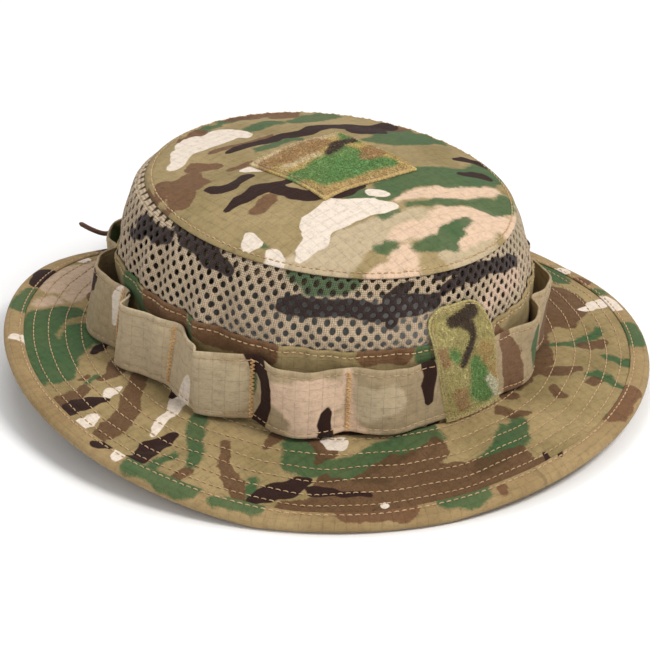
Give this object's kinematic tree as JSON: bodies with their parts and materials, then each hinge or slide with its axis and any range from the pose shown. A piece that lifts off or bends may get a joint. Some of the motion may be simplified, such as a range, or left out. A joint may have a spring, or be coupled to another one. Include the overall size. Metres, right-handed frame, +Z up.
{
  "type": "boonie hat",
  "caption": "Soft wide-brimmed sun hat: camouflage crown with a mesh wall, quilted brim with bound edge, foliage loops, loop-pile patches and a rear drawcord with a spring cord lock.",
  "frame": {"origin": "centre of the overall box on the surface the brim rests on", "axes": "+Z up; the hat's front is -Y; +X is the wearer's left"},
  "size_m": [0.311, 0.307, 0.1077],
  "materials": {
    "ripstop": "camouflage printed ripstop",
    "mesh": "printed polyester mesh",
    "webbing": "printed woven strip",
    "lining": "plain woven lining",
    "interlining": "stiff non-woven",
    "pile": "loop pile",
    "thread": "polyester thread",
    "cord": "braided elastic cord",
    "metal": "dark painted eyelet",
    "plastic": "matte moulded",
    "steel": "spring wire"
  },
  "bodies": {
    "hat": {"bar_tack_left_1": "thread", "bar_tack_left_2": "thread", "bar_tack_left_3": "thread", "bar_tack_left_4": "thread", "bar_tack_left_5": "thread", "bar_tack_left_6": "thread", "bar_tack_right_1": "thread", "bar_tack_right_2": "thread", "bar_tack_right_3": "thread", "bar_tack_right_4": "thread", "bar_tack_right_5": "thread", "bar_tack_right_6": "thread", "base_band": "ripstop", "base_band_stitch": "thread", "binding_stitch": "thread", "brim_binding": "ripstop", "brim_core": "interlining", "brim_stitch_1": "thread", "brim_stitch_2": "thread", "brim_stitch_3": "thread", "brim_stitch_4": "thread", "brim_stitch_5": "thread", "brim_stitch_6": "thread", "brim_top_ply": "ripstop", "brim_under_ply": "ripstop", "cord_eyelet_left": "metal", "cord_eyelet_right": "metal", "crown_mesh": "mesh", "crown_seam_tape": "lining", "crown_top": "ripstop", "crown_top_stitch": "thread", "drawcord_channel": "cord", "drawcord_tail_left": "cord", "drawcord_tail_right": "cord", "foliage_band_left": "webbing", "foliage_band_right": "webbing", "front_patch": "pile", "sweatband": "lining", "top_patch": "pile"},
    "cord_lock": {"cord_lock_body": "plastic", "cord_lock_spring": "steel"},
    "plunger": {"cord_lock_plunger": "plastic"}
  },
  "joints": [
    {"name": "lock_slide", "type": "slide", "parent": "hat", "child": "cord_lock", "axis": [0, 1, 0], "range_m": [-0.002, 0.013]},
    {"name": "plunger_press", "type": "slide", "parent": "cord_lock", "child": "plunger", "axis": [0, 0, -1], "range_m": [0, 0.0035], "stiffness_N_per_m": 500, "springref_m": -0.002, "deforming": ["cord_lock_spring"]}
  ]
}
